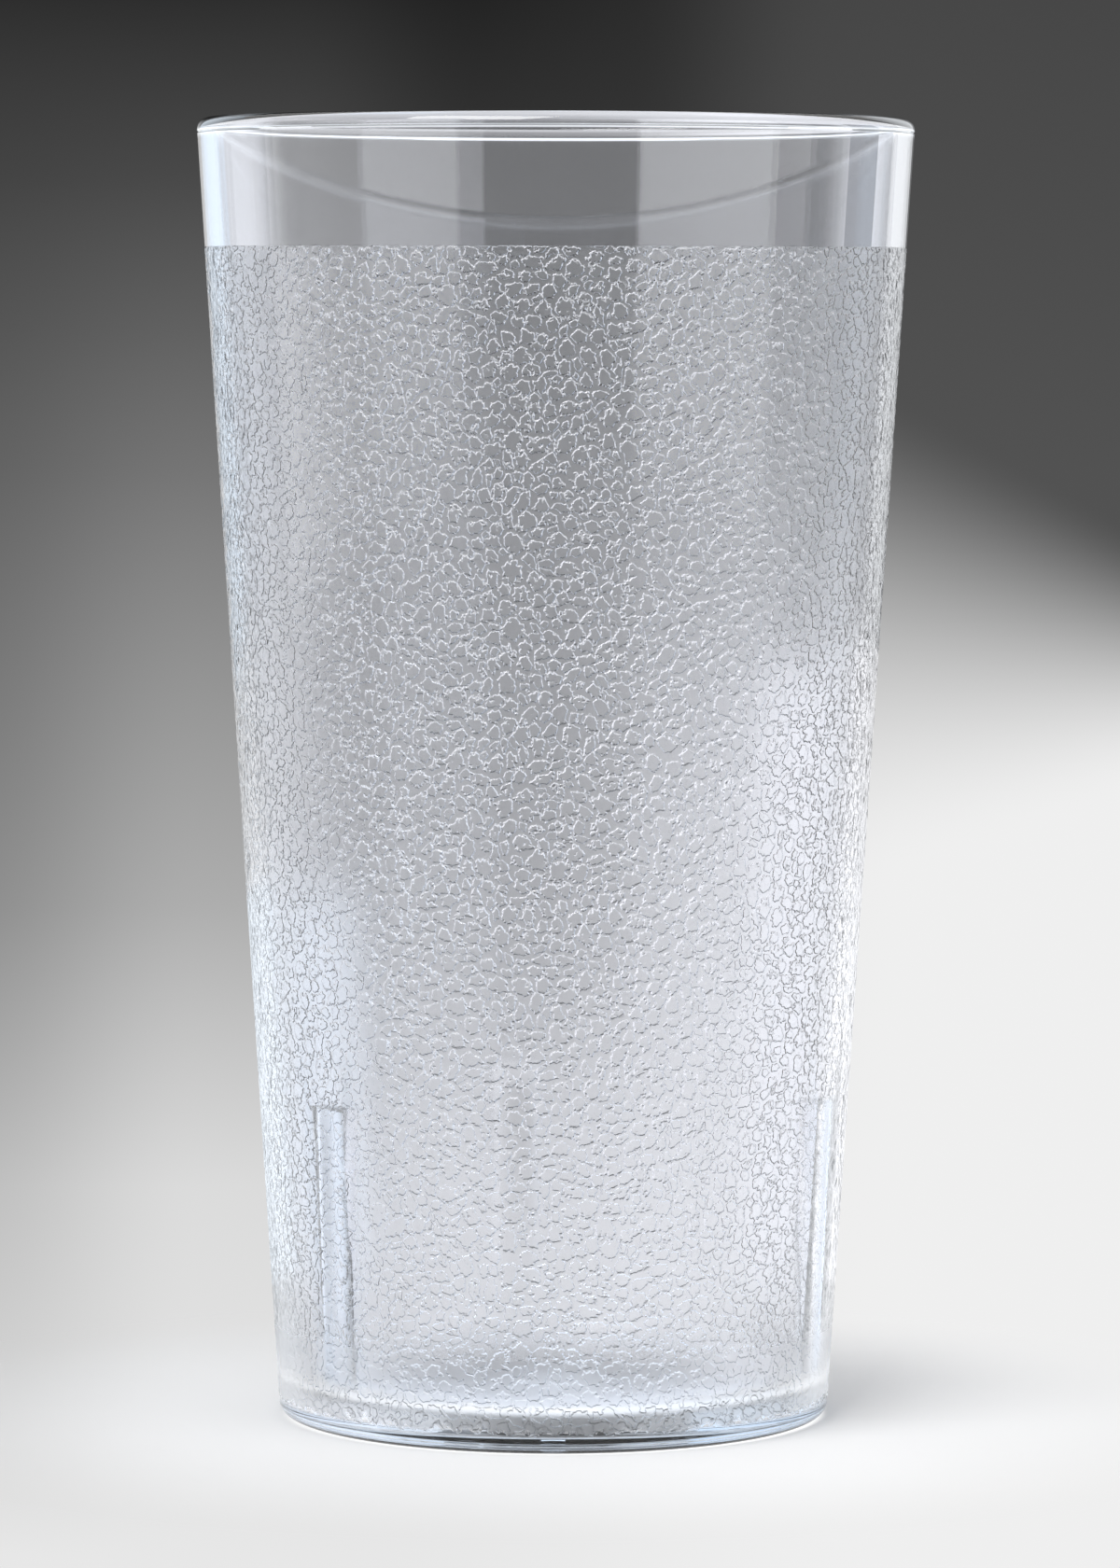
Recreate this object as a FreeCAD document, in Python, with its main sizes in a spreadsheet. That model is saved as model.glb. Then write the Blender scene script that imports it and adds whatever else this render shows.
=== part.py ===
"""Stackable clear plastic tumbler, moulded in one piece.

Plan of the file:
  1. the driving sizes
  2. small helpers for sheet cells, sketches and checks
  3. the features of the tumbler, in moulding order
  4. checks and export

The frame: millimetres, +Z up, origin in the middle of the foot's contact plane.
The foot ring stands on Z = 0 and one stacking rib points along +Y.
"""
import FreeCAD, Part
import math
import os
import Sketcher

# 1. Driving sizes, in millimetres unless the name says otherwise
SIZES = {
    "cup_height": 152.4,
    "rim_diameter": 84.0,
    "foot_diameter": 64.6,
    "wall_thickness": 2.2,
    "floor_thickness": 3.0,
    "foot_recess_depth": 1.0,
    "foot_ring_width": 3.0,
    "foot_corner_radius": 1.6,
    "recess_corner_radius": 0.6,
    "floor_corner_radius": 3.4,
    "lip_outer_radius": 1.4,
    "lip_inner_radius": 0.6,
    "smooth_band_height": 15.0,
    "texture_start_height": 2.9,
    "texture_inset": 0.1,
    "rib_count": 3,
    "rib_width": 5.4,
    "rib_reach": 2.25,
    "rib_top_height": 38.6,
    "rib_edge_radius": 0.5,
    "gate_diameter": 3.2,
    "gate_height": 0.4,
}
# Length used only to let a cutting profile run past the surface it trims
OVERRUN = 4.0
NODE = "tumbler"


# 2. Helpers
def make_sheet(doc, sizes):
    """Puts each size in its own named cell of one spreadsheet."""
    sheet = doc.addObject("Spreadsheet::Sheet", "Sizes")
    for row, (alias, value) in enumerate(sizes.items(), start=1):
        sheet.set(f"A{row}", alias)
        sheet.set(f"B{row}", str(value))
        sheet.setAlias(f"B{row}", alias)
    doc.recompute()
    return sheet


def origin_feature(body, role):
    """The body's own plane or axis with this role."""
    return next(f for f in body.Origin.OriginFeatures if f.Role == role)


def new_sketch(body, name, role="XZ_Plane"):
    """A sketch on one of the body's origin planes."""
    sketch = body.newObject("Sketcher::SketchObject", name)
    sketch.AttachmentSupport = [(origin_feature(body, role), "")]
    sketch.MapMode = "FlatFace"
    return sketch


def closed_profile(sketch, corners, driven):
    """Draws a closed polygon and drives its corners from the sheet.

    corners: list of (x, y) close to the final shape
    driven: per corner, the expressions of its x and y distance from the origin
    """
    count = len(corners)
    points = [FreeCAD.Vector(x, y, 0) for x, y in corners]
    for i in range(count):
        sketch.addGeometry(Part.LineSegment(points[i], points[(i + 1) % count]), False)
    for i in range(count):
        sketch.addConstraint(Sketcher.Constraint("Coincident", i, 2, (i + 1) % count, 1))
    for i, (across, up) in enumerate(driven):
        for axis, expression in (("X", across), ("Y", up)):
            if expression == "0":
                line = -2 if axis == "X" else -1
                sketch.addConstraint(Sketcher.Constraint("PointOnObject", i, 1, line))
                continue
            value = points[i].x if axis == "X" else points[i].y
            label = f"corner_{i}_{'across' if axis == 'X' else 'up'}"
            index = sketch.addConstraint(
                Sketcher.Constraint(f"Distance{axis}", -1, 1, i, 1, value)
            )
            sketch.renameConstraint(index, label)
            sketch.setExpression(f"Constraints.{label}", expression)


def spin_feature(body, kind, name, sketch):
    """A full turn of the sketch about the body's Z axis."""
    feature = body.newObject(kind, name)
    feature.Profile = sketch
    feature.ReferenceAxis = (origin_feature(body, "Z_Axis"), [""])
    feature.Angle = 360
    sketch.Visibility = False
    return feature


def ring_edge(shape, radius, height, tolerance=0.05):
    """Name of the full circular edge about Z with this radius and height."""
    for number, edge in enumerate(shape.Edges, start=1):
        curve = edge.Curve
        if not isinstance(curve, Part.Circle) or abs(abs(curve.Axis.z) - 1) > 1e-6:
            continue
        on_axis = math.hypot(curve.Center.x, curve.Center.y) < tolerance
        if on_axis and abs(curve.Radius - radius) < tolerance and abs(curve.Center.z - height) < tolerance:
            return f"Edge{number}"
    raise ValueError(f"no ring edge of radius {radius} at height {height}")


def round_edges(body, name, base, edges, size):
    """Rounds the named edges of the base feature with the sheet's size."""
    fillet = body.newObject("PartDesign::Fillet", name)
    fillet.Base = (base, edges)
    fillet.setExpression("Radius", f"Sizes.{size}")
    return fillet


def removes(doc, body, before, feature):
    """Stops if the feature took nothing away."""
    doc.recompute()
    if not body.Shape.Volume < before - 1e-3:
        raise ValueError(f"{feature.Name} removed nothing")
    return body.Shape.Volume


def adds(doc, body, before, feature):
    """Stops if the feature added nothing."""
    doc.recompute()
    if not body.Shape.Volume > before + 1e-3:
        raise ValueError(f"{feature.Name} added nothing")
    return body.Shape.Volume


# 3. The tumbler
doc = FreeCAD.newDocument("Tumbler")
sheet = make_sheet(doc, SIZES)
body = doc.addObject("PartDesign::Body", "Tumbler")

TAPER = "((Sizes.rim_diameter - Sizes.foot_diameter) / 2 / Sizes.cup_height)"
FOOT_R = "Sizes.foot_diameter / 2"
RIM_R = "Sizes.rim_diameter / 2"
FLOOR_Z = "(Sizes.foot_recess_depth + Sizes.floor_thickness)"
BAND_Z = "(Sizes.cup_height - Sizes.smooth_band_height)"


def outer_at(height):
    """Expression of the outer wall's radius at a height expression."""
    return f"{FOOT_R} + {TAPER} * ({height})"


def inner_at(height):
    """Expression of the inner wall's radius at a height expression."""
    return f"{outer_at(height)} - Sizes.wall_thickness"


# The same lines as numbers, for first guesses and for finding edges
s = SIZES
taper = (s["rim_diameter"] - s["foot_diameter"]) / 2 / s["cup_height"]
floor_z = s["foot_recess_depth"] + s["floor_thickness"]
band_z = s["cup_height"] - s["smooth_band_height"]


def outer_radius(height):
    """Outer wall radius at a height."""
    return s["foot_diameter"] / 2 + taper * height


def inner_radius(height):
    """Inner wall radius at a height."""
    return outer_radius(height) - s["wall_thickness"]


# Outside: a solid tapered blank
blank_sketch = new_sketch(body, "BlankProfile")
closed_profile(
    blank_sketch,
    [
        (0, 0),
        (outer_radius(0), 0),
        (outer_radius(s["cup_height"]), s["cup_height"]),
        (0, s["cup_height"]),
    ],
    [
        ("0", "0"),
        (FOOT_R, "0"),
        (RIM_R, "Sizes.cup_height"),
        ("0", "Sizes.cup_height"),
    ],
)
blank = spin_feature(body, "PartDesign::Revolution", "Blank", blank_sketch)
volume = adds(doc, body, 0.0, blank)

# Inside: the tapered cavity down to the floor
cavity_top = s["cup_height"] + OVERRUN
cavity_sketch = new_sketch(body, "CavityProfile")
closed_profile(
    cavity_sketch,
    [
        (0, floor_z),
        (inner_radius(floor_z), floor_z),
        (inner_radius(cavity_top), cavity_top),
        (0, cavity_top),
    ],
    [
        ("0", FLOOR_Z),
        (inner_at(FLOOR_Z), FLOOR_Z),
        (inner_at(f"Sizes.cup_height + {OVERRUN}"), f"Sizes.cup_height + {OVERRUN}"),
        ("0", f"Sizes.cup_height + {OVERRUN}"),
    ],
)
cavity = spin_feature(body, "PartDesign::Groove", "Cavity", cavity_sketch)
volume = removes(doc, body, volume, cavity)

# Underside: the shallow recess that leaves a foot ring to stand on
RECESS_R = f"{FOOT_R} - Sizes.foot_corner_radius - Sizes.foot_ring_width"
recess_radius = s["foot_diameter"] / 2 - s["foot_corner_radius"] - s["foot_ring_width"]
recess_sketch = new_sketch(body, "RecessProfile")
closed_profile(
    recess_sketch,
    [
        (0, -OVERRUN),
        (recess_radius, -OVERRUN),
        (recess_radius, s["foot_recess_depth"]),
        (0, s["foot_recess_depth"]),
    ],
    [
        ("0", f"-{OVERRUN}"),
        (RECESS_R, f"-{OVERRUN}"),
        (RECESS_R, "Sizes.foot_recess_depth"),
        ("0", "Sizes.foot_recess_depth"),
    ],
)
recess = spin_feature(body, "PartDesign::Groove", "FootRecess", recess_sketch)
volume = removes(doc, body, volume, recess)

# Roundings of the turned form: lip, foot corner, recess corner, cavity floor corner
shape = body.Shape
round_lip_out = round_edges(
    body, "LipOuterRounding", recess,
    [ring_edge(shape, outer_radius(s["cup_height"]), s["cup_height"])], "lip_outer_radius",
)
doc.recompute()
round_lip_in = round_edges(
    body, "LipInnerRounding", round_lip_out,
    [ring_edge(body.Shape, inner_radius(s["cup_height"]), s["cup_height"])], "lip_inner_radius",
)
doc.recompute()
round_foot = round_edges(
    body, "FootCornerRounding", round_lip_in,
    [ring_edge(body.Shape, outer_radius(0), 0)], "foot_corner_radius",
)
doc.recompute()
round_recess = round_edges(
    body, "RecessCornerRounding", round_foot,
    [ring_edge(body.Shape, recess_radius, s["foot_recess_depth"])], "recess_corner_radius",
)
doc.recompute()
round_floor = round_edges(
    body, "FloorCornerRounding", round_recess,
    [ring_edge(body.Shape, inner_radius(floor_z), floor_z)], "floor_corner_radius",
)
doc.recompute()
volume = body.Shape.Volume

# Stacking rib: an upright lug on the inner wall, level on top, fading out at the floor
embed = s["wall_thickness"] / 2
half = s["rib_width"] / 2
face = inner_radius(s["rib_top_height"]) - s["rib_reach"]
edge_radius = s["rib_edge_radius"]
back = inner_radius(s["rib_top_height"]) + embed
rib_sketch = new_sketch(body, "RibPlan", "XY_Plane")
rib_sketch.AttachmentOffset = FreeCAD.Placement(
    FreeCAD.Vector(0, 0, s["rib_top_height"]), FreeCAD.Rotation()
)
rib_sketch.setExpression("AttachmentOffset.Base.z", "Sizes.rib_top_height")


def line(x1, y1, x2, y2):
    """A straight sketch line."""
    return Part.LineSegment(FreeCAD.Vector(x1, y1, 0), FreeCAD.Vector(x2, y2, 0))


def corner_arc(x, y, start, end):
    """A rib corner arc about its centre, angles in degrees."""
    circle = Part.Circle(FreeCAD.Vector(x, y, 0), FreeCAD.Vector(0, 0, 1), edge_radius)
    return Part.ArcOfCircle(circle, math.radians(start), math.radians(end))


inner_edge, right_arc, right_side, back_side, left_side, left_arc = (
    rib_sketch.addGeometry(item, False)
    for item in (
        line(edge_radius - half, face, half - edge_radius, face),
        corner_arc(half - edge_radius, face + edge_radius, -90, 0),
        line(half, face + edge_radius, half, back),
        line(half, back, -half, back),
        line(-half, back, -half, face + edge_radius),
        corner_arc(edge_radius - half, face + edge_radius, 180, 270),
    )
)
for constraint in (
    ("Tangent", inner_edge, 2, right_arc, 1),
    ("Tangent", right_arc, 2, right_side, 1),
    ("Coincident", right_side, 2, back_side, 1),
    ("Coincident", back_side, 2, left_side, 1),
    ("Tangent", left_side, 2, left_arc, 1),
    ("Tangent", left_arc, 2, inner_edge, 1),
    ("Vertical", right_side),
    ("Vertical", left_side),
    ("Equal", right_arc, left_arc),
    ("Symmetric", back_side, 1, back_side, 2, -2),
):
    rib_sketch.addConstraint(Sketcher.Constraint(*constraint))
for label, constraint, expression in (
    ("edge_radius", ("Radius", right_arc, edge_radius), "Sizes.rib_edge_radius"),
    ("width", ("DistanceX", back_side, 2, back_side, 1, 2 * half), "Sizes.rib_width"),
    (
        "face",
        ("DistanceY", -1, 1, inner_edge, 1, face),
        f"{inner_at('Sizes.rib_top_height')} - Sizes.rib_reach",
    ),
    (
        "back",
        ("DistanceY", -1, 1, back_side, 1, back),
        f"{inner_at('Sizes.rib_top_height')} + Sizes.wall_thickness / 2",
    ),
):
    index = rib_sketch.addConstraint(Sketcher.Constraint(*constraint))
    rib_sketch.renameConstraint(index, label)
    rib_sketch.setExpression(f"Constraints.{label}", expression)

# The lug runs down to the floor; where its back leaves the wall, the next cut trims it
rib = body.newObject("PartDesign::Pad", "StackingRib")
rib.Profile = rib_sketch
rib.Reversed = True
rib.setExpression("Length", f"Sizes.rib_top_height - {FLOOR_Z}")
rib_sketch.Visibility = False
volume = adds(doc, body, volume, rib)

ribs = body.newObject("PartDesign::PolarPattern", "StackingRibs")
ribs.Originals = [rib]
ribs.Axis = (origin_feature(body, "Z_Axis"), [""])
ribs.Angle = 360
ribs.setExpression("Occurrences", "Sizes.rib_count")
body.Tip = ribs
volume = adds(doc, body, volume, ribs)


def rib_top_edges(found):
    """Names of the ribs' free top edges, which leaves out those on the wall."""
    names = []
    wall = inner_radius(s["rib_top_height"])
    for number, edge in enumerate(found.Edges, start=1):
        middle = edge.valueAt((edge.FirstParameter + edge.LastParameter) / 2)
        level = all(abs(v.Point.z - s["rib_top_height"]) < 1e-3 for v in edge.Vertexes)
        if level and math.hypot(middle.x, middle.y) < wall - 0.02:
            names.append(f"Edge{number}")
    return names


rib_rounding = round_edges(
    body, "RibTopRounding", ribs, rib_top_edges(body.Shape), "rib_edge_radius"
)
body.Tip = rib_rounding
volume = removes(doc, body, volume, rib_rounding)

# Textured wall: set in by a hair, so the smooth band ends in a fine step.
# The same cut trims the backs of the lugs flush with the wall's outside.
inset_sketch = new_sketch(body, "TextureInsetProfile")
closed_profile(
    inset_sketch,
    [
        (outer_radius(s["texture_start_height"]) - s["texture_inset"], s["texture_start_height"]),
        (outer_radius(s["texture_start_height"]) + OVERRUN, s["texture_start_height"]),
        (outer_radius(band_z) + OVERRUN, band_z),
        (outer_radius(band_z) - s["texture_inset"], band_z),
    ],
    [
        (f"{outer_at('Sizes.texture_start_height')} - Sizes.texture_inset", "Sizes.texture_start_height"),
        (f"{outer_at('Sizes.texture_start_height')} + {OVERRUN}", "Sizes.texture_start_height"),
        (f"{outer_at(BAND_Z)} + {OVERRUN}", BAND_Z),
        (f"{outer_at(BAND_Z)} - Sizes.texture_inset", BAND_Z),
    ],
)
inset = spin_feature(body, "PartDesign::Groove", "TextureInset", inset_sketch)
volume = removes(doc, body, volume, inset)

# Gate mark: a low round vestige in the middle of the recess roof
gate_sketch = new_sketch(body, "GateProfile", "XY_Plane")
gate_sketch.AttachmentOffset = FreeCAD.Placement(
    FreeCAD.Vector(0, 0, s["foot_recess_depth"] - s["gate_height"]), FreeCAD.Rotation()
)
gate_sketch.setExpression(
    "AttachmentOffset.Base.z", "Sizes.foot_recess_depth - Sizes.gate_height"
)
gate_sketch.addGeometry(
    Part.Circle(FreeCAD.Vector(0, 0, 0), FreeCAD.Vector(0, 0, 1), s["gate_diameter"] / 2), False
)
gate_sketch.addConstraint(Sketcher.Constraint("Coincident", 0, 3, -1, 1))
gate_index = gate_sketch.addConstraint(Sketcher.Constraint("Diameter", 0, s["gate_diameter"]))
gate_sketch.renameConstraint(gate_index, "gate_diameter")
gate_sketch.setExpression("Constraints.gate_diameter", "Sizes.gate_diameter")
gate = body.newObject("PartDesign::Pad", "GateVestige")
gate.Profile = gate_sketch
gate.setExpression("Length", "Sizes.gate_height + Sizes.floor_thickness / 2")
gate_sketch.Visibility = False
volume = adds(doc, body, volume, gate)

# 4. Checks and export
doc.recompute()
for item in doc.Objects:
    if {"Invalid", "Error"} & set(item.State):
        raise ValueError(f"{item.Name} did not build: {item.State}")
solid = body.Shape
if solid.isNull() or not solid.isValid() or len(solid.Solids) != 1:
    raise ValueError("the tumbler is not one valid solid")
box = solid.BoundBox
print("height mm", round(box.ZMax - box.ZMin, 2))
print("volume cm3", round(solid.Volume / 1000, 2), "faces", len(solid.Faces))

os.makedirs("parts", exist_ok=True)
solid.exportStep(f"parts/{NODE}.step")
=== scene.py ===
"""Clear pebbled plastic tumbler: its moulded shell, its finish and a plain studio.

Everything is in metres in the part's own frame: +Z up, the foot ring on Z = 0 and one
stacking rib towards +Y.
"""
import logging
import math
import random
from dataclasses import dataclass, field
from enum import Enum

import bmesh
import bpy
from mathutils import Matrix, Vector
from mathutils.geometry import delaunay_2d_cdt


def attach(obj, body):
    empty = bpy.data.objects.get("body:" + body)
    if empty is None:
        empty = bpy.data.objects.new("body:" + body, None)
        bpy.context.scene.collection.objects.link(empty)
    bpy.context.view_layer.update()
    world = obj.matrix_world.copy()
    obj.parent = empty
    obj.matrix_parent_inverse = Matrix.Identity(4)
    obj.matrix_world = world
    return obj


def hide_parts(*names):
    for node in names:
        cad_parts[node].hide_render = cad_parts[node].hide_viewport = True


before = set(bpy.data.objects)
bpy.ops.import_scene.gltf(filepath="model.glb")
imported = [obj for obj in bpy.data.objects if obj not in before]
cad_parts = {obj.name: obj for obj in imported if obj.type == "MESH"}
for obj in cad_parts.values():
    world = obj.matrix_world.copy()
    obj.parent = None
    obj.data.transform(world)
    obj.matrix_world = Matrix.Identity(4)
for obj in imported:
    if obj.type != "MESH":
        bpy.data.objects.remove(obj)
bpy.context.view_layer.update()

MM = 0.001
MERGE = 0.001 * MM
BLACK = (0.0, 0.0, 0.0, 1.0)
SOFT_WHITE = (0.97, 0.98, 1.0, 1.0)
LOG = logging.getLogger("tumbler")

Profile = list[tuple[float, float]]
Colour = tuple[float, float, float, float]
Range = tuple[float, float]
Mesh, Vert, Face = bmesh.types.BMesh, bmesh.types.BMVert, bmesh.types.BMFace
Object, Material, Socket = bpy.types.Object, bpy.types.Material, bpy.types.NodeSocket


class Mark(Enum):
    """The marks that the shell's mesh carries for its finish."""

    RISE = "pebble_rise"
    ZONE = "pebble_zone"
    RIB = "thick_rib"


def arc(centre: Range, radius: float, start: float, end: float, steps: int) -> Profile:
    """Points along an arc in the profile plane.

    Args:
        centre: the arc's centre as radius and height.
        radius: the arc's own radius.
        start: first angle in degrees, 0 pointing outwards and 90 upwards.
        end: last angle in degrees.
        steps: how many straight steps the arc is drawn with.

    Returns:
        The points, both ends included.
    """
    points = []
    for i in range(steps + 1):
        angle = math.radians(start + (end - start) * i / steps)
        points.append((centre[0] + radius * math.cos(angle), centre[1] + radius * math.sin(angle)))
    return points


def spin(bm: Mesh, geom: list, angle: float, steps: int) -> None:
    """Turns points and edges about the axis by an angle in radians, closing a full turn."""
    bmesh.ops.spin(
        bm, geom=geom, cent=(0, 0, 0), axis=(0, 0, 1), dvec=(0, 0, 0), angle=angle, steps=steps,
        use_merge=angle == math.tau, use_normal_flip=False, use_duplicate=False,
    )


def make_object(name: str, bm: Mesh) -> Object:
    """Turns a finished mesh into an object of the scene.

    Args:
        name: the object's name.
        bm: the mesh, which is freed.

    Returns:
        The object.
    """
    mesh = bpy.data.meshes.new(name)
    bm.to_mesh(mesh)
    bm.free()
    made = bpy.data.objects.new(name, mesh)
    bpy.context.collection.objects.link(made)
    return made


@dataclass
class WallSizes:
    """The turned form of the tumbler, in millimetres.

    The lip rows stand close below the lip's inner rounding and keep the smooth band's shading
    free of it; the cavity rows are the heights at which the inner wall is divided.
    """

    height: float = 152.4
    rim_radius: float = 42.0
    foot_radius: float = 32.3
    wall: float = 2.2
    floor_top: float = 4.0
    recess_depth: float = 1.0
    foot_ring_width: float = 3.0
    foot_corner: float = 1.6
    recess_corner: float = 0.6
    foot_edge: float = 0.15
    floor_corner: float = 3.4
    lip_outer: float = 1.4
    lip_inner: float = 0.6
    gate_radius: float = 1.6
    gate_height: float = 0.4
    gate_edge: float = 0.12
    groove_width: float = 0.30
    groove_depth: float = 0.12
    texture_inset: float = 0.1
    texture_bottom: float = 2.9
    texture_top: float = 137.4
    lip_rows: Range = (0.2, 0.5)
    cavity_rows: tuple[float, ...] = (140.0, 120.0, 100.0, 80.0, 60.0, 46.0)

    @property
    def taper(self) -> float:
        """Radius gained per millimetre of height."""
        return (self.rim_radius - self.foot_radius) / self.height

    @property
    def lean(self) -> float:
        """The wall's lean from upright, in degrees."""
        return math.degrees(math.atan(self.taper))

    def outer(self, z: float) -> float:
        """Outer radius of the smooth wall at a height."""
        return self.foot_radius + self.taper * z

    def inner(self, z: float) -> float:
        """Inner radius of the wall at a height."""
        return self.outer(z) - self.wall

    def groove_rows(self) -> tuple[Range, ...]:
        """The rows of the fine groove, with a spare one that keeps the band below it flat.

        Returns:
            For each row its distance below the lip's outer rounding, and its depth.
        """
        width = self.groove_width
        drops = (2.5 * width, 1.5 * width, width, width / 2)
        return tuple((drop, self.groove_depth if drop == width else 0.0) for drop in drops)

    def textured(self, z: float) -> float:
        """Radius of the flat ground between the pebbles at a height."""
        return self.outer(z) - self.texture_inset


@dataclass
class RibSizes:
    """A stacking rib on the inner wall, in millimetres and degrees.

    The marks are the shares of the thick plastic's tint, and of the rib's painted glow, along the
    middle of the rib's flat face and at its root; its sides and its rounded top take all of it. The
    root is the height above the floor at which the rib starts, and the rows are the heights at
    which its face is divided.
    """

    width: float = 5.4
    reach: float = 2.25
    top: float = 38.6
    edge: float = 0.5
    first_angle: float = 90.0
    count: int = 3
    root: float = 1.2
    face_mark: float = 0.45
    root_mark: float = 0.5
    rows: tuple[float, ...] = (34.0, 28.0, 22.0, 18.0, 15.0, 13.0, 11.5, 10.0, 8.5)

    def columns(self) -> tuple[float, ...]:
        """Sideways distance of each column of the rib from its middle to its side."""
        half, edge = self.width / 2, self.edge
        rounded = half - edge * (1 - math.cos(math.radians(30)))
        return (0.0, half - edge, half - edge / 2, rounded, half)


@dataclass
class PebbleSizes:
    """The raised pebbles on the outer wall, in millimetres.

    Scatter and missing are shares of the spacing and of the pebbles; spare rows are laid beyond
    both borders of the texture, and the wrap is the angle, in radians, by which the net overlaps
    itself before it is closed.
    """

    pitch: float = 1.98
    row_step: float = 1.36
    scatter: float = 0.54
    missing: float = 0.10
    rise: float = 0.12
    top_share: tuple[float, float] = (0.34, 0.54)
    merge: float = 0.28
    fade: float = 0.8
    spare_rows: int = 6
    first_row: float = -2.5
    wrap: float = 0.35
    seed: int = 11


@dataclass
class TumblerShell:
    """The one moulded piece: a turned shell, three ribs inside and pebbles outside."""

    wall: WallSizes = field(default_factory=WallSizes)
    rib: RibSizes = field(default_factory=RibSizes)
    pebble: PebbleSizes = field(default_factory=PebbleSizes)
    columns: int = 180
    fine_steps: int = 12
    lip_steps: int = 6
    foot_steps: int = 10
    recess_steps: int = 4
    crease: float = 35.0
    name: str = "tumbler_shell"

    def foot_profile(self) -> Profile:
        """Profile from the middle of the underside, over the foot ring, to the wall."""
        w = self.wall
        roof = w.recess_depth
        ring_in = w.foot_radius - w.foot_corner - w.foot_ring_width
        cos_lean = math.cos(math.radians(w.lean))
        corner_r = w.outer(w.foot_corner) - w.foot_corner / cos_lean
        recess = (ring_in - w.recess_corner, roof - w.recess_corner)
        return [
            (0.0, roof - w.gate_height),
            (w.gate_radius - w.gate_edge, roof - w.gate_height),
            (w.gate_radius, roof - w.gate_height + w.gate_edge),
            (w.gate_radius, roof),
            *arc(recess, w.recess_corner, 90, 0, self.recess_steps),
            (ring_in, w.foot_edge),
            (ring_in + w.foot_edge, 0.0),
            *arc((corner_r, w.foot_corner), w.foot_corner, -90, -w.lean, self.foot_steps),
        ]

    def rib_rows(self) -> list[float]:
        """Heights of the inner wall's rows from the rib's top down to the floor corner."""
        top, edge = self.rib.top, self.rib.edge
        rounding = [top - edge + edge * math.sin(math.radians(a)) for a in (60, 30, 0)]
        return [top, *rounding, *self.rib.rows]

    def cavity_profile(self) -> Profile:
        """Profile from the texture's upper edge, over the lip, to the middle of the floor."""
        w = self.wall
        cos_lean = math.cos(math.radians(w.lean))
        out_z = w.height - w.lip_outer
        in_z = w.height - w.lip_inner
        out_r = w.outer(out_z) - w.lip_outer / cos_lean
        in_r = w.inner(in_z) + w.lip_inner / cos_lean
        corner_z = w.floor_top + w.floor_corner
        corner_r = w.inner(corner_z) - w.floor_corner / cos_lean
        rows = [*(in_z - drop for drop in w.lip_rows), *w.cavity_rows, *self.rib_rows()]
        return [
            (w.outer(w.texture_top), w.texture_top),
            *((w.outer(out_z - drop) - depth, out_z - drop) for drop, depth in w.groove_rows()),
            *arc((out_r, out_z), w.lip_outer, -w.lean, 90, self.fine_steps),
            *arc((in_r, in_z), w.lip_inner, 90, 180 - w.lean, self.lip_steps),
            *((w.inner(z), z) for z in rows),
            *arc((corner_r, corner_z), w.floor_corner, -w.lean, -90, self.fine_steps),
            (0.0, w.floor_top),
        ]

    def spun(self, bm: Mesh, profile: Profile) -> None:
        """Turns a profile a full circle round the axis.

        Args:
            bm: the mesh to add to.
            profile: radius and height of each point, in millimetres.
        """
        turn = Matrix.Rotation(math.radians(self.rib.first_angle), 3, "Z")
        before = set(bm.verts)
        verts = [bm.verts.new(turn @ Vector((r * MM, 0.0, z * MM))) for r, z in profile]
        edges = [bm.edges.new(pair) for pair in zip(verts, verts[1:])]
        spin(bm, verts + edges, math.tau, self.columns)
        made = [v for v in bm.verts if v not in before]
        bmesh.ops.remove_doubles(bm, verts=made, dist=MERGE)

    def rib_frame(self, index: int) -> tuple[Vector, Vector]:
        """A rib's outward and sideways directions.

        Args:
            index: which rib, counted from the first angle.

        Returns:
            The unit vector from the axis to the rib, and the one across it.
        """
        angle = math.radians(self.rib.first_angle + 360.0 * index / self.rib.count)
        out = Vector((math.cos(angle), math.sin(angle), 0.0))
        return out, Vector((-out.y, out.x, 0.0))

    def rib_depth(self, across: float, z: float) -> float:
        """Distance from the axis plane to the rib's rounded face.

        Args:
            across: sideways distance from the rib's middle, in millimetres.
            z: height in millimetres.

        Returns:
            The distance along the rib's outward direction, in millimetres.
        """
        r = self.rib
        face = self.wall.inner(r.top) - r.reach
        side = max(abs(across) - (r.width / 2 - r.edge), 0.0)
        up = max(z - (r.top - r.edge), 0.0)
        over = min(math.hypot(side, up), r.edge)
        return face + r.edge - math.sqrt(r.edge**2 - over**2)

    def rib_patch(self, bm: Mesh, out: Vector, across: Vector) -> dict[Vert, int]:
        """Finds the part of the inner wall that a rib stands on.

        Args:
            bm: the mesh.
            out: the direction from the axis to the rib.
            across: the direction across the rib.

        Returns:
            Its vertices, each with its column counted from the rib's middle.
        """
        slack, wall_slack = 0.01, 0.05
        pitch = math.tau / self.columns
        low, high = self.wall.floor_top + self.rib.root, self.rib.top + slack
        reach = len(self.rib.columns())
        patch = {}
        for v in bm.verts:
            z = v.co.z / MM
            radius = math.hypot(v.co.x, v.co.y) / MM
            inside = radius < self.wall.inner(z) + wall_slack
            if not (inside and v.co.dot(out) > 0 and low < z < high):
                continue
            column = round(math.atan2(v.co.dot(across), v.co.dot(out)) / pitch)
            if abs(column) < reach:
                patch[v] = column
        return patch

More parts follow.
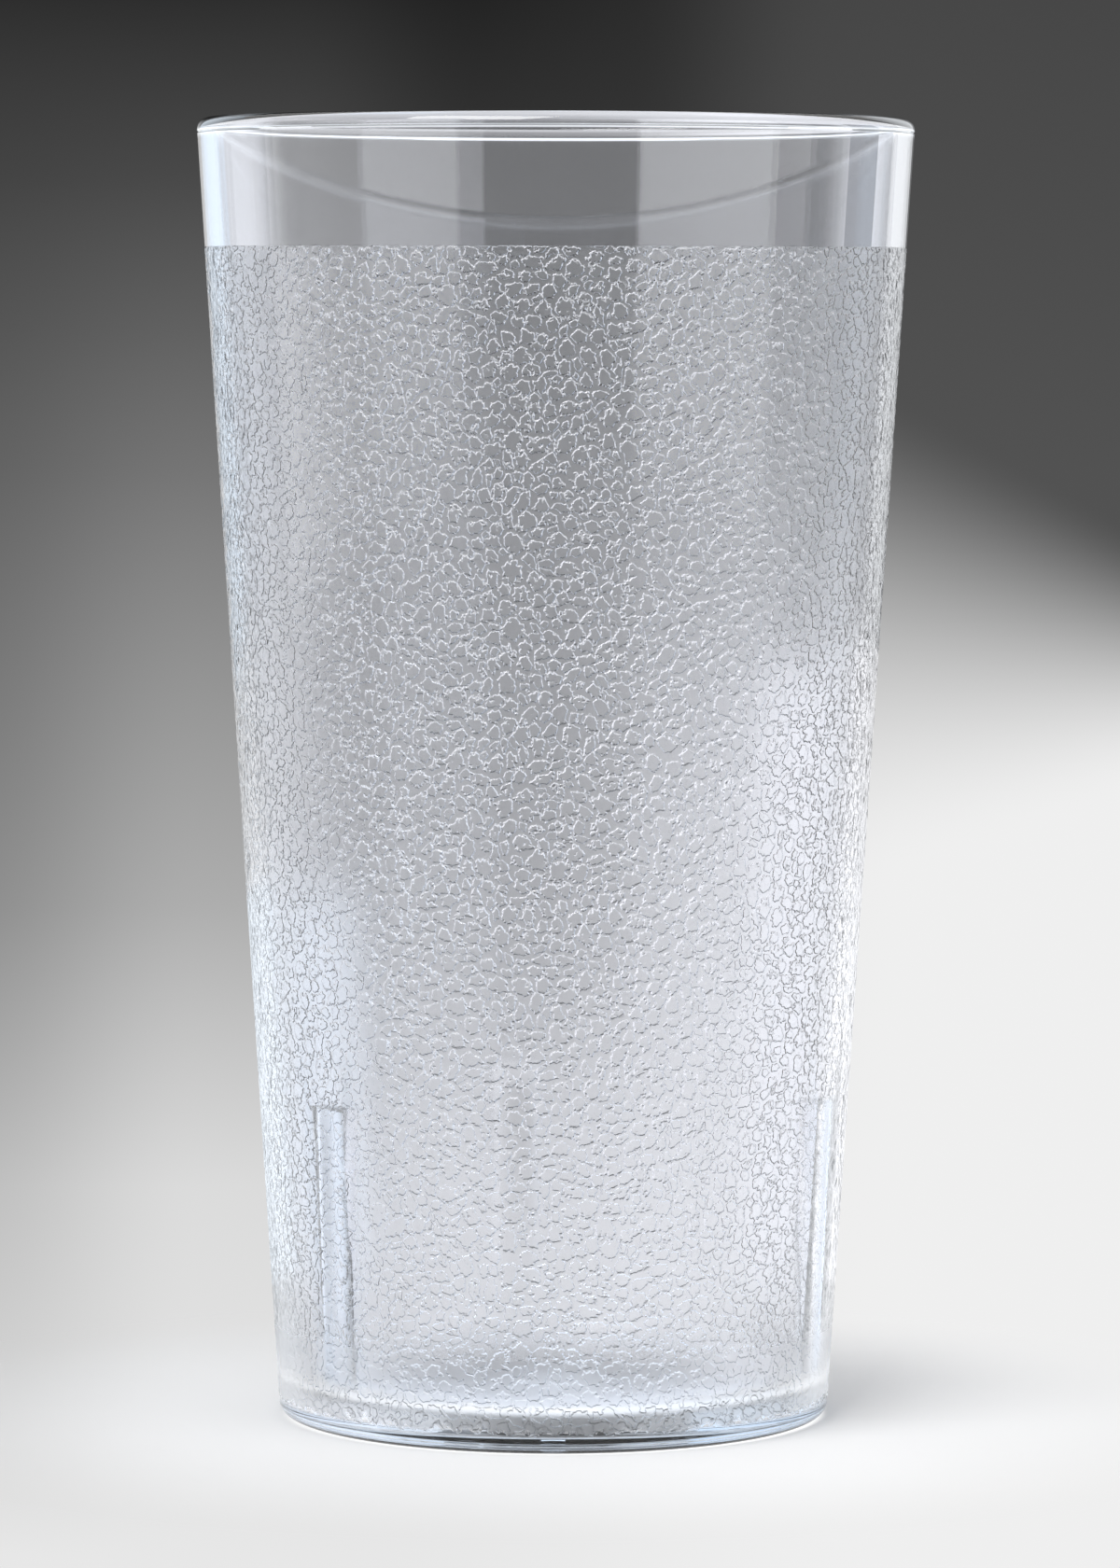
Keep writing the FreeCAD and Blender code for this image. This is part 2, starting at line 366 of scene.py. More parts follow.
    def add_ribs(self, bm: Mesh) -> None:
        """Draws the stacking ribs out of the inner wall.

        Args:
            bm: the mesh that holds the inner wall.
        """
        r = self.rib
        columns = r.columns()
        thick = bm.verts.layers.float.new(Mark.RIB.value)
        bm.verts.ensure_lookup_table()
        for index in range(r.count):
            out, across = self.rib_frame(index)
            patch = self.rib_patch(bm, out, across)
            for v, k in patch.items():
                radius = math.hypot(v.co.x, v.co.y)
                x = math.copysign(columns[abs(k)] * MM, k) if k else 0.0
                v.co = across * x + out * math.sqrt(radius**2 - x**2) + Vector((0, 0, v.co.z))
                v[thick] = r.root_mark if abs(k) == len(columns) - 1 else 0.0
            faces = [f for f in bm.faces if all(v in patch for v in f.verts)]
            made = bmesh.ops.extrude_face_region(bm, geom=faces)["geom"]
            moved = [g for g in made if isinstance(g, Vert)]
            bmesh.ops.delete(bm, geom=faces, context="FACES")
            for v in moved:
                x = v.co.dot(across)
                depth = min(v.co.dot(out), self.rib_depth(x / MM, v.co.z / MM) * MM)
                v.co = across * x + out * depth + Vector((0, 0, v.co.z))
                on_middle = abs(x) < r.edge * MM and v.co.z < (r.top - r.edge / 2) * MM
                v[thick] = r.face_mark if on_middle else 1.0
        bmesh.ops.remove_doubles(bm, verts=bm.verts, dist=MERGE)
        bmesh.ops.dissolve_degenerate(bm, edges=bm.edges, dist=MERGE)

    def pebble_seeds(self) -> list[tuple[float, float]]:
        """Scattered middles of the pebbles.

        Returns:
            Angle round the axis and height of each, in radians and millimetres.
        """
        w, p = self.wall, self.pebble
        rng = random.Random(p.seed)
        step = p.row_step
        rows = round((w.texture_top - w.texture_bottom) / step) + p.spare_rows
        seeds = []
        for row in range(rows):
            z = w.texture_bottom + (row + p.first_row) * step
            count = round(math.tau * w.outer(z) / p.pitch)
            shift = 0.5 * (row % 2)
            for i in range(count):
                if rng.random() < p.missing:
                    continue
                turn = (i + shift + rng.uniform(-p.scatter, p.scatter)) / count
                seeds.append((turn * math.tau, z + rng.uniform(-p.scatter, p.scatter) * step))
        return seeds

    def flattened(self, angle: float, z: float) -> Vector:
        """Rolls the cone's surface out flat.

        Args:
            angle: angle round the axis in radians.
            z: height in millimetres.

        Returns:
            The point on the flat sheet, in millimetres.
        """
        sine = math.sin(math.radians(self.wall.lean))
        reach = self.wall.outer(z) / sine
        return Vector((reach * math.cos(angle * sine), reach * math.sin(angle * sine)))

    def rolled(self, point: Vector) -> Vector:
        """Rolls a point of the flat sheet back on to the ground of the textured wall.

        Args:
            point: the point on the flat sheet, in millimetres.

        Returns:
            The place in space, in metres.
        """
        w = self.wall
        sine = math.sin(math.radians(w.lean))
        reach = point.length
        angle = math.atan2(point.y, point.x) / sine
        z = (reach * sine - w.foot_radius) / w.taper
        radius = w.textured(z) * MM
        return Vector((radius * math.cos(angle), radius * math.sin(angle), z * MM))

    def pebble_net(self, bm: Mesh) -> list[Face]:
        """Divides the textured wall into one cell for each pebble.

        Args:
            bm: the mesh to add to.

        Returns:
            The cells' faces.
        """
        seeds = self.pebble_seeds()
        count = len(seeds)
        wrap = self.pebble.wrap
        places = [(angle, z, i) for i, (angle, z) in enumerate(seeds)]
        places += [(a + math.tau, z, i) for a, z, i in places[:count] if a < wrap]
        places += [(a - math.tau, z, i) for a, z, i in places[:count] if a > math.tau - wrap]
        flat = [self.flattened(a, z) for a, z, _ in places]
        triangles = delaunay_2d_cdt(flat, [], [], 0, 1e-9, False)[2]
        centres: dict[tuple[int, ...], Vector] = {}
        around: dict[int, list[tuple[float, tuple[int, ...]]]] = {}
        for triangle in triangles:
            centre = sum((flat[i] for i in triangle), Vector((0.0, 0.0))) / 3
            key = tuple(sorted(places[i][2] for i in triangle))
            for i in triangle:
                if i >= count:
                    continue
                heading = math.atan2(centre.y - flat[i].y, centre.x - flat[i].x)
                around.setdefault(i, []).append((heading, key))
                centres.setdefault(key, centre)
        w = self.wall
        step = self.pebble.pitch
        corners: dict[tuple[int, ...], Vert] = {}
        cells = []
        for i, ring in around.items():
            z = seeds[i][1]
            if not w.texture_bottom - step < z < w.texture_top + step:
                continue
            keys = [key for _, key in sorted(ring)]
            for key in keys:
                if key not in corners:
                    corners[key] = bm.verts.new(self.rolled(centres[key]))
            if len(keys) > 2:
                cells.append(bm.faces.new([corners[key] for key in keys]))
        loose = [v for v in corners.values() if not v.link_faces]
        bmesh.ops.delete(bm, geom=loose, context="VERTS")
        edges = list(dict.fromkeys(e for f in cells for e in f.edges))
        bmesh.ops.dissolve_degenerate(bm, edges=edges, dist=self.pebble.merge * MM)
        cells = [f for f in cells if f.is_valid]
        verts = list(dict.fromkeys(v for f in cells for v in f.verts))
        edges = list(dict.fromkeys(e for f in cells for e in f.edges))
        geom = verts + edges + cells
        for height, up in ((w.texture_top, 1), (w.texture_bottom - self.pebble.fade, -1)):
            cut = bmesh.ops.bisect_plane(
                bm, geom=geom, dist=1e-7, plane_co=(0, 0, height * MM), plane_no=(0, 0, up),
                clear_outer=True,
            )
            geom = [g for g in cut["geom"] if g.is_valid]
        return [g for g in geom if isinstance(g, Face)]

    def raise_pebbles(self, bm: Mesh, cells: list[Face]) -> None:
        """Lifts the middle of each cell into a flat-topped pebble.

        Args:
            bm: the mesh that holds the cells.
            cells: one face for each pebble.
        """
        p = self.pebble
        rng = random.Random(p.seed + 1)
        rise = bm.verts.layers.float.new(Mark.RISE.value)
        zone = bm.verts.layers.float.new(Mark.ZONE.value)
        bmesh.ops.inset_individual(
            bm, faces=cells, thickness=0.0, depth=0.0, use_even_offset=False,
            use_interpolate=False, use_relative_offset=False,
        )
        lift = math.radians(self.wall.lean)
        low = (self.wall.texture_bottom - 0.5 * p.fade) * MM
        for v in {v for cell in cells for e in cell.edges for f in e.link_faces for v in f.verts}:
            v[zone] = float(v.co.z > low)
        for cell in cells:
            middle = cell.calc_center_median()
            out = Vector((middle.x, middle.y, 0.0)).normalized() * math.cos(lift)
            out.z = -math.sin(lift)
            share = rng.uniform(*p.top_share)
            for v in cell.verts:
                v.co = middle + (v.co - middle) * share + out * p.rise * MM
                v[rise] = 1.0

    def wall_normals(self, mesh: bpy.types.Mesh) -> None:
        """Lets the pebbled wall shade as the plain cone, so that its relief shades only once.

        Args:
            mesh: the shell's mesh.
        """
        w = self.wall
        lift = math.radians(w.lean)
        normals = [Vector((0.0, 0.0, 0.0))] * len(mesh.loops)
        for face in mesh.polygons:
            middle = face.center / MM
            radius = math.hypot(middle.x, middle.y)
            outside = radius > w.inner(middle.z) + 0.5 * w.wall
            if not outside or not w.foot_corner < middle.z < w.texture_top - 0.001:
                continue
            for loop in face.loop_indices:
                place = mesh.vertices[mesh.loops[loop].vertex_index].co
                out = Vector((place.x, place.y, 0.0)).normalized() * math.cos(lift)
                normals[loop] = Vector((out.x, out.y, -math.sin(lift)))
        mesh.normals_split_custom_set(normals)

    def build(self) -> Object:
        """Makes the finished shell.

        Returns:
            The object.
        """
        bm = bmesh.new()
        self.spun(bm, self.foot_profile())
        self.spun(bm, self.cavity_profile())
        self.add_ribs(bm)
        cells = self.pebble_net(bm)
        self.join_rings(bm)
        bmesh.ops.recalc_face_normals(bm, faces=bm.faces)
        cells = [f for f in cells if f.is_valid]
        self.raise_pebbles(bm, cells)
        for f in bm.faces:
            f.smooth = True
        for e in bm.edges:
            if len(e.link_faces) == 2 and e.calc_face_angle(0.0) > math.radians(self.crease):
                e.smooth = False
        LOG.info("pebbles: %d", len(cells))
        piece = make_object(self.name, bm)
        self.wall_normals(piece.data)
        return piece

    def join_rings(self, bm: Mesh) -> None:
        """Closes the two gaps between the pebbled wall and the turned parts.

        Args:
            bm: the mesh that holds all three.
        """
        open_edges = [e for e in bm.edges if len(e.link_faces) == 1]
        middle = (self.wall.texture_bottom + self.wall.texture_top) / 2 * MM
        for low in (True, False):
            rim = [e for e in open_edges if e.is_valid and (e.verts[0].co.z < middle) == low]
            bmesh.ops.bridge_loops(bm, edges=rim)


class Nodes:
    """A small helper for adding nodes and links to one node tree."""

    def __init__(self, tree: bpy.types.NodeTree) -> None:
        """Keeps the tree that the nodes are added to."""
        self.tree = tree

    def add(self, kind: str, **settings: object) -> bpy.types.Node:
        """Adds a shader node.

        Args:
            kind: its type, without the word ShaderNode.
            settings: its settings by name.

        Returns:
            The node.
        """
        node = self.tree.nodes.new("ShaderNode" + kind)
        for name, value in settings.items():
            setattr(node, name, value)
        return node

    def feed(self, socket: Socket, source: object) -> None:
        """Links a socket to another one, or sets it to a constant.

        Args:
            socket: the socket to feed.
            source: another socket or a plain value.
        """
        if isinstance(source, Socket):
            self.tree.links.new(source, socket)
        else:
            socket.default_value = source

    def math(self, operation: str, *sources: object, clamp: bool = False) -> Socket:
        """Adds a math node.

        Args:
            operation: what it does.
            sources: its inputs, as sockets or numbers.
            clamp: whether the result is held between 0 and 1.

        Returns:
            The result.
        """
        node = self.add("Math", operation=operation, use_clamp=clamp)
        for socket, source in zip(node.inputs, sources):
            self.feed(socket, source)
        return node.outputs[0]

    def times(self, first: object, *others: object) -> Socket:
        """Multiplies values with one another."""
        for other in others:
            first = self.math("MULTIPLY", first, other)
        return first

    def rest(self, value: object) -> Socket:
        """What is left of 1."""
        return self.math("SUBTRACT", 1.0, value)

    def ease(self, value: object, low: object, high: object) -> Socket:
        """Eases a value between two bounds.

        Args:
            value: the value.
            low: where the result is 0.
            high: where the result is 1.

        Returns:
            The result.
        """
        node = self.add("MapRange", interpolation_type="SMOOTHSTEP")
        self.feed(node.inputs["Value"], value)
        self.feed(node.inputs["From Min"], low)
        self.feed(node.inputs["From Max"], high)
        return node.outputs["Result"]

    def ramp(self, value: object, stops: tuple[Range, ...]) -> Socket:
        """Maps a value to a grey tone.

        Args:
            value: the value.
            stops: the ramp's pairs of position and tone.

        Returns:
            The tone.
        """
        node = self.add("ValToRGB")
        ramp = node.color_ramp
        for _ in stops[2:]:
            ramp.elements.new(0.5)
        for element, (position, tone) in zip(ramp.elements, stops):
            element.position = position
            element.color = (tone, tone, tone, 1.0)
        self.feed(node.inputs[0], value)
        return node.outputs[0]

    def mix(self, factor: object, first: object, second: object) -> Socket:
        """Mixes two colours.

        Args:
            factor: the second one's share.
            first: the first one.
            second: the second one.

        Returns:
            The mix.
        """
        node = self.add("Mix", data_type="RGBA")
        for index, source in ((0, factor), (6, first), (7, second)):
            self.feed(node.inputs[index], source)
        return node.outputs[2]

    def noise(self, place: Socket, scale: float, detail: float) -> Socket:
        """Adds a noise.

        Args:
            place: the position.
            scale: how fine it is.
            detail: how many finer layers it has.

        Returns:
            The noise's value.
        """
        node = self.add("TexNoise", noise_dimensions="3D")
        self.feed(node.inputs["Vector"], place)
        self.feed(node.inputs["Scale"], scale)
        self.feed(node.inputs["Detail"], detail)
        return node.outputs[0]


def blank_material(name: str) -> tuple[Material, Nodes]:
    """Makes a material with no nodes yet.

    Args:
        name: the material's name.

    Returns:
        The material and its nodes.
    """
    material = bpy.data.materials.new(name)
    material.use_nodes = True
    material.node_tree.nodes.clear()
    return material, Nodes(material.node_tree)


class EffectGroup:
    """A reusable node group with named inputs and outputs."""

    def __init__(self, name: str, inputs: dict[str, str], outputs: dict[str, str]) -> None:
        """Makes the empty group.

        Args:
            name: the group's name.
            inputs: for each input its socket kind.
            outputs: for each output its socket kind.
        """
        self.tree = bpy.data.node_groups.new(name, "ShaderNodeTree")
        for way, sockets in (("INPUT", inputs), ("OUTPUT", outputs)):
            for label, kind in sockets.items():
                self.tree.interface.new_socket(label, in_out=way, socket_type="NodeSocket" + kind)
        self.nodes = Nodes(self.tree)
        self.source = self.tree.nodes.new("NodeGroupInput").outputs
        self.result = self.tree.nodes.new("NodeGroupOutput").inputs

    def placed(self, nodes: Nodes, **sources: object) -> bpy.types.Node:
        """Puts the group into a material.

        Args:
            nodes: the material's nodes.
            sources: what feeds each input.

        Returns:
            The group's node.
        """
        node = nodes.add("Group", node_tree=self.tree)
        for label, source in sources.items():
            nodes.feed(node.inputs[label], source)
        return node


@dataclass(frozen=True)
class PebbleRelief:
    """Fine relief of the pebbled wall: crisp uneven pebble edges and a faint unrest."""

    edge: Range = (0.28, 0.74)
    wobble_scale: float = 1900.0
    wobble: float = 2.0
    drift_scale: float = 700.0
    drift: float = 1.3
    unrest_scale: float = 900.0
    unrest: float = 0.05

    def group(self) -> EffectGroup:
        """Makes the node group that turns the pebble attribute into a height.

        Returns:
            The group, with Position and Rise in and Height out.
        """
        made = EffectGroup(
            "pebble_relief", {"Position": "Vector", "Rise": "Float"}, {"Height": "Float"}
        )
        n = made.nodes
        place = made.source["Position"]
        wobble = n.noise(place, self.wobble_scale, 1.0)
        drift = n.noise(place, self.drift_scale, 0.0)
        near = n.times(n.math("SUBTRACT", wobble, 0.5), self.wobble)
        wide = n.times(n.math("SUBTRACT", drift, 0.5), self.drift)
        rise = n.math("ADD", made.source["Rise"], n.math("ADD", near, wide))
        mask = n.ease(rise, *self.edge)
        faint = n.times(n.noise(place, self.unrest_scale, 2.0), self.unrest)
        n.feed(made.result["Height"], n.math("ADD", mask, faint))
        return made


@dataclass(frozen=True)
class EdgeShade:
    """Painted shade on the pebbles' sloping edges, most on their undersides: how far the colour of
    a sloping edge darkens what is seen through it.

    The lean is the sine of the wall's own lean, by which the flat wall faces down already.
    """

    steep: float = 2.5
    under: float = 0.65
    lean: float = 0.063

    def group(self) -> EffectGroup:
        """Makes the node group that turns the relief's normal into a shade.

        Returns:
            The group, with Position and Normal in and Shade out: 0 on the flat and most on edges
            that face down.
        """
        made = EffectGroup(
            "edge_shade", {"Position": "Vector", "Normal": "Vector"}, {"Shade": "Float"}
        )
        n = made.nodes
        flat = n.add("VectorMath", operation="MULTIPLY")
        n.feed(flat.inputs[0], made.source["Position"])
        n.feed(flat.inputs[1], (1.0, 1.0, 0.0))
        outward = n.add("VectorMath", operation="NORMALIZE")
        n.feed(outward.inputs[0], flat.outputs[0])
        facing = n.add("VectorMath", operation="DOT_PRODUCT")
        n.feed(facing.inputs[0], made.source["Normal"])
        n.feed(facing.inputs[1], outward.outputs[0])
        slope = n.rest(facing.outputs["Value"])
        parts = n.add("SeparateXYZ")
        n.feed(parts.inputs[0], made.source["Normal"])
        down = n.times(n.math("ADD", parts.outputs[2], self.lean), -self.under)
        shade = n.math("MULTIPLY_ADD", slope, self.steep, down, clamp=True)
        n.feed(made.result["Shade"], shade)
        return made


@dataclass(frozen=True)
class Hit:
    """What the finish knows about the spot that a ray meets, each as a socket.

    Zone is 1 on the pebbled wall, and ribs is the thick plastic's share. First, far, mirrored
    and trapped are 1 for a ray that comes straight to the cup, has passed through the near wall,
    has been mirrored, or has gone to and fro many times.
    """

    place: Socket
    height: Socket
    zone: Socket
    ribs: Socket
    facing: Socket
    first: Socket
    far: Socket
    mirrored: Socket
    trapped: Socket


@dataclass(frozen=True)
class ClearPlastic:
    """Clear moulded plastic with a faint cool cast.

    Pebbles seen through the wall in front of them only blur what lies behind them. The plastic
    gives
    off painted light though it is no lamp: a painted glow where a ray has gone to and fro inside it
    many times, at the lower wall's sides and on the ribs, and painted highlights on a line under
    the lip and on the mirrored lip. Heights are in metres, and depths are counts of passes through
    a surface.
    """

    name: str = "clear_plastic"
    colour: Colour = (0.960, 0.968, 1.0, 1.0)
    thick_colour: Colour = (0.70, 0.81, 0.96, 1.0)
    thick_roughness: float = 0.26
    # Painted shade: the colour that the pebbles' sloping edges are darkened towards.
    painted_shade_colour: Colour = (0.24, 0.27, 0.32, 1.0)
    foot_heights: Range = (0.0027, 0.0019)
    ior: float = 1.57
    pebble_height: float = 0.0001
    pebble_roughness: float = 0.12
    haze_roughness: float = 0.30
    frost: float = 0.30
    frost_heights: Range = (0.018, 0.004)
    first_depth: float = 0.5
    close_depth: float = 1.5
    haze_depth: float = 2.5
    trapped_depth: float = 9.5
    grazing: Range = (0.45, 0.88)
    grazing_fade: float = 0.85
    # Painted light: the emission colour and strengths of the plastic's painted glow and painted
    # highlights.
    painted_glow_colour: Colour = (0.9, 0.95, 1.0, 1.0)
    painted_trapped_glow: float = 0.30
    painted_rib_glow: float = 0.10
    # Painted glow at the sides of the lower wall.
    glow: float = 0.20
    painted_glow_facing: Range = (0.42, 0.75)
    painted_glow_heights: Range = (0.095, 0.045)
    painted_line_heights: tuple[float, float, float] = (0.15045, 0.15075, 0.15105)
    painted_line_highlight: float = 0.35
    painted_lip_heights: Range = (0.1500, 0.1508)
    painted_lip_highlight: float = 0.24
    relief: PebbleRelief = field(default_factory=PebbleRelief)
    edges: EdgeShade = field(default_factory=EdgeShade)

    def hit(self, n: Nodes) -> Hit:
        """Reads the mesh's marks and the ray's path.

        Args:
            n: the material's nodes.

        Returns:
            The spot's sockets.
        """
        place = n.add("TexCoord").outputs["Object"]
        parts = n.add("SeparateXYZ")
        n.feed(parts.inputs[0], place)
        path = n.add("LightPath").outputs
        passes = path["Transmission Depth"]
        rib = n.add("Attribute", attribute_name=Mark.RIB.value).outputs["Fac"]
        turns = n.math("SUBTRACT", path["Ray Depth"], passes)
        return Hit(
            place=place,
            height=parts.outputs[2],
            zone=n.add("Attribute", attribute_name=Mark.ZONE.value).outputs["Fac"],
            ribs=n.times(rib, n.math("LESS_THAN", passes, self.close_depth)),
            facing=n.add("LayerWeight").outputs["Facing"],
            first=n.math("LESS_THAN", passes, self.first_depth),
            far=n.math("GREATER_THAN", passes, self.haze_depth),
            mirrored=n.math("GREATER_THAN", turns, self.first_depth),
            trapped=n.math("GREATER_THAN", path["Ray Depth"], self.trapped_depth),
        )

    def bumped(self, n: Nodes, hit: Hit) -> Socket:
        """Makes the normal of the pebbles' fine relief, which fades towards grazing views.

        Args:
            n: the material's nodes.
            hit: the spot's sockets.

        Returns:
            The normal.
        """
        rise = n.add("Attribute", attribute_name=Mark.RISE.value).outputs["Fac"]
        relief = self.relief.group().placed(n, Position=hit.place, Rise=rise)
        grazing = n.times(n.ease(hit.facing, *self.grazing), self.grazing_fade)
        bump = n.add("Bump")
        n.feed(bump.inputs["Strength"], n.times(n.rest(hit.far), n.rest(grazing)))
        n.feed(bump.inputs["Distance"], self.pebble_height)
        n.feed(bump.inputs["Height"], n.times(relief.outputs["Height"], hit.zone))
        return bump.outputs[0]

    def roughness(self, n: Nodes, hit: Hit) -> Socket:
        """Makes the roughness: haze on pebbles, more at the foot, on ribs and on the far wall.

        Args:
            n: the material's nodes.
            hit: the spot's sockets.

        Returns:
            The roughness.
        """
        frost = n.ease(hit.height, *self.frost_heights)
        frost = n.times(frost, self.frost, n.rest(hit.far))
        haze = n.times(hit.far, self.haze_roughness - self.pebble_roughness)
        rough = n.math("ADD", n.math("ADD", self.pebble_roughness, frost), haze)
        return n.math("MULTIPLY_ADD", hit.ribs, self.thick_roughness, n.times(hit.zone, rough))

    def tint(self, n: Nodes, hit: Hit, normal: Socket) -> Socket:
        """Makes the colour: bluer where the plastic is thick, with painted shade on the pebbles'
        edges.

        Args:
            n: the material's nodes.
            hit: the spot's sockets.
            normal: the relief's normal.

        Returns:
            The colour.
        """
        foot = n.ease(hit.height, *self.foot_heights)
        clear = n.mix(n.math("MAXIMUM", foot, hit.ribs), self.colour, self.thick_colour)
        # Painted shade on the pebbles' sloping edges, most on those that face down.
        shade = self.edges.group().placed(n, Position=hit.place, Normal=normal).outputs[0]
        return n.mix(n.times(shade, hit.first, hit.zone), clear, self.painted_shade_colour)

    def painted_light_strength(self, n: Nodes, hit: Hit) -> Socket:
        """Makes the strength of the painted light that the plastic gives off, though it is no lamp.

        Args:
            n: the material's nodes.
            hit: the spot's sockets.

        Returns:
            The strength: a painted glow at the sides of the lower wall and on the ribs, painted
            highlights on the line under the lip and on the lip where it is mirrored, and a painted
            glow wherever a ray has gone to and fro many times.
        """
        facing = n.ease(hit.facing, *self.painted_glow_facing)
        lower = n.ease(hit.height, *self.painted_glow_heights)
        below, middle, above = self.painted_line_heights
        line = n.times(n.ease(hit.height, below, middle), n.ease(hit.height, above, middle))
        lip = n.times(n.ease(hit.height, *self.painted_lip_heights), hit.mirrored)
        total = n.times(facing, lower, hit.first, hit.zone, self.glow)
        total = n.math("MULTIPLY_ADD", hit.ribs, self.painted_rib_glow, total)
        total = n.math("MULTIPLY_ADD", line, self.painted_line_highlight, total)
        total = n.math("MULTIPLY_ADD", lip, self.painted_lip_highlight, total)
        return n.math("MULTIPLY_ADD", hit.trapped, self.painted_trapped_glow, total)

    def build(self) -> Material:
        """Makes the material.

        Returns:
            The material.
        """
        material = bpy.data.materials.new(self.name)
        material.use_nodes = True
        n = Nodes(material.node_tree)
        shader = material.node_tree.nodes["Principled BSDF"].inputs
        hit = self.hit(n)
        normal = self.bumped(n, hit)
        n.feed(shader["Normal"], normal)
        n.feed(shader["Roughness"], self.roughness(n, hit))
        n.feed(shader["Base Color"], self.tint(n, hit, normal))
        n.feed(shader["Emission Strength"], self.painted_light_strength(n, hit))
        n.feed(shader["Emission Color"], self.painted_glow_colour)
        n.feed(shader["IOR"], self.ior)
        n.feed(shader["Transmission Weight"], 1.0)
        n.feed(shader["Metallic"], 0.0)
        return material


@dataclass
class Softbox:
    """A curved upright light panel standing round the cup, seen only by the light it gives.

    Angles are in degrees from straight behind the cup to the right, lengths in metres. Through
    is the most that a panel gives straight through the clear wall, so that the cup doesn't clip
    to white against it.
    """

    name: str
    start: float
    end: float
    radius: float
    bottom: float
    top: float
    strength: float
    tint: Colour = (1.0, 1.0, 1.0, 1.0)
    through: float = 1.2
    steps: int = 12

    def material(self) -> Material:
        """Makes the panel's light.

        Returns:
            The material.
        """
        material, n = blank_material(self.name)
        glow = n.add("Emission")
        n.feed(glow.inputs["Color"], self.tint)
        path = n.add("LightPath").outputs
        turned = n.math("SUBTRACT", path["Ray Depth"], path["Transmission Depth"])
        unturned = n.math("LESS_THAN", turned, 0.5)
        straight = n.times(unturned, n.math("GREATER_THAN", path["Ray Depth"], 0.5))
        dimmer = min(0.0, self.through - self.strength)
        n.feed(glow.inputs["Strength"], n.math("MULTIPLY_ADD", straight, dimmer, self.strength))
        n.feed(n.add("OutputMaterial").inputs[0], glow.outputs[0])
        return material

    def build(self) -> Object:
        """Makes the panel.

        Returns:
            The object.
        """
        bm = bmesh.new()
        turn = Matrix.Rotation(math.radians(-self.start), 3, "Z")
        low = bm.verts.new(turn @ Vector((0.0, self.radius, self.bottom)))
        high = bm.verts.new(turn @ Vector((0.0, self.radius, self.top)))
        edge = bm.edges.new((low, high))
        spin(bm, [low, high, edge], math.radians(self.start - self.end), self.steps)
        panel = make_object(self.name, bm)
        panel.data.materials.append(self.material())
        panel.visible_camera = False
        return panel


